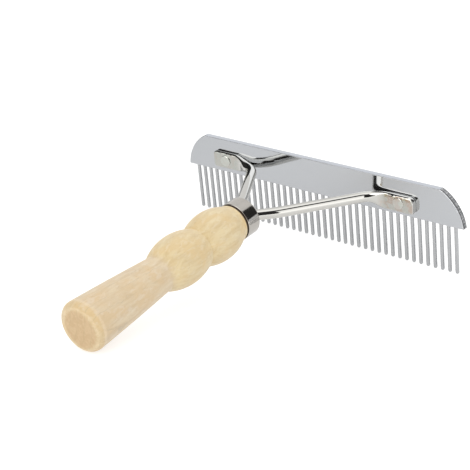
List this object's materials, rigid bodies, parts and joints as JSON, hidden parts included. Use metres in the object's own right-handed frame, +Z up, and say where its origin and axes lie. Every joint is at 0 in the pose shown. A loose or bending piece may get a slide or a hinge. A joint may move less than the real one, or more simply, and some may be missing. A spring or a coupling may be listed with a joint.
{
  "type": "undercoat rake comb",
  "caption": "T-shaped pet grooming rake with a turned wooden handle, a forked metal neck and a comb bar with one row of straight round-tipped teeth.",
  "frame": {"origin": "middle of the object's box in X and Y, on the flat surface it rests on: the tooth tips and the rounded rim of the handle's butt touch Z = 0", "axes": "+X along the comb bar, +Y from the handle towards the comb bar, +Z up; the bar stands square to X, its teeth point down and about 5.6 degrees forward of -Z"},
  "size_m": [0.16, 0.1624, 0.0404],
  "materials": {
    "bar_steel": "mirror polished, chrome plated",
    "tooth_steel": "satin polished steel",
    "rod_chrome": "bright chrome plate over hammered rod",
    "ferrule_chrome": "bright chrome plate",
    "handle_wood": "turned, sanded, clear satin"
  },
  "bodies": {
    "root": {"comb_bar": "bar_steel", "tooth_01": "tooth_steel", "tooth_02": "tooth_steel", "tooth_03": "tooth_steel", "tooth_04": "tooth_steel", "tooth_05": "tooth_steel", "tooth_06": "tooth_steel", "tooth_07": "tooth_steel", "tooth_08": "tooth_steel", "tooth_09": "tooth_steel", "tooth_10": "tooth_steel", "tooth_11": "tooth_steel", "tooth_12": "tooth_steel", "tooth_13": "tooth_steel", "tooth_14": "tooth_steel", "tooth_15": "tooth_steel", "tooth_16": "tooth_steel", "tooth_17": "tooth_steel", "tooth_18": "tooth_steel", "tooth_19": "tooth_steel", "tooth_20": "tooth_steel", "tooth_21": "tooth_steel", "tooth_22": "tooth_steel", "tooth_23": "tooth_steel", "tooth_24": "tooth_steel", "tooth_25": "tooth_steel", "tooth_26": "tooth_steel", "tooth_27": "tooth_steel", "tooth_28": "tooth_steel", "tooth_29": "tooth_steel", "tooth_30": "tooth_steel", "tooth_31": "tooth_steel", "tooth_32": "tooth_steel", "tooth_33": "tooth_steel", "tooth_34": "tooth_steel", "tooth_35": "tooth_steel", "tooth_36": "tooth_steel", "tooth_37": "tooth_steel", "tooth_38": "tooth_steel", "tooth_39": "tooth_steel", "tooth_40": "tooth_steel", "fork_arm_left": "rod_chrome", "rivet_left": "rod_chrome", "fork_arm_right": "rod_chrome", "rivet_right": "rod_chrome", "ferrule": "ferrule_chrome", "handle": "handle_wood"}
  },
  "joints": []
}
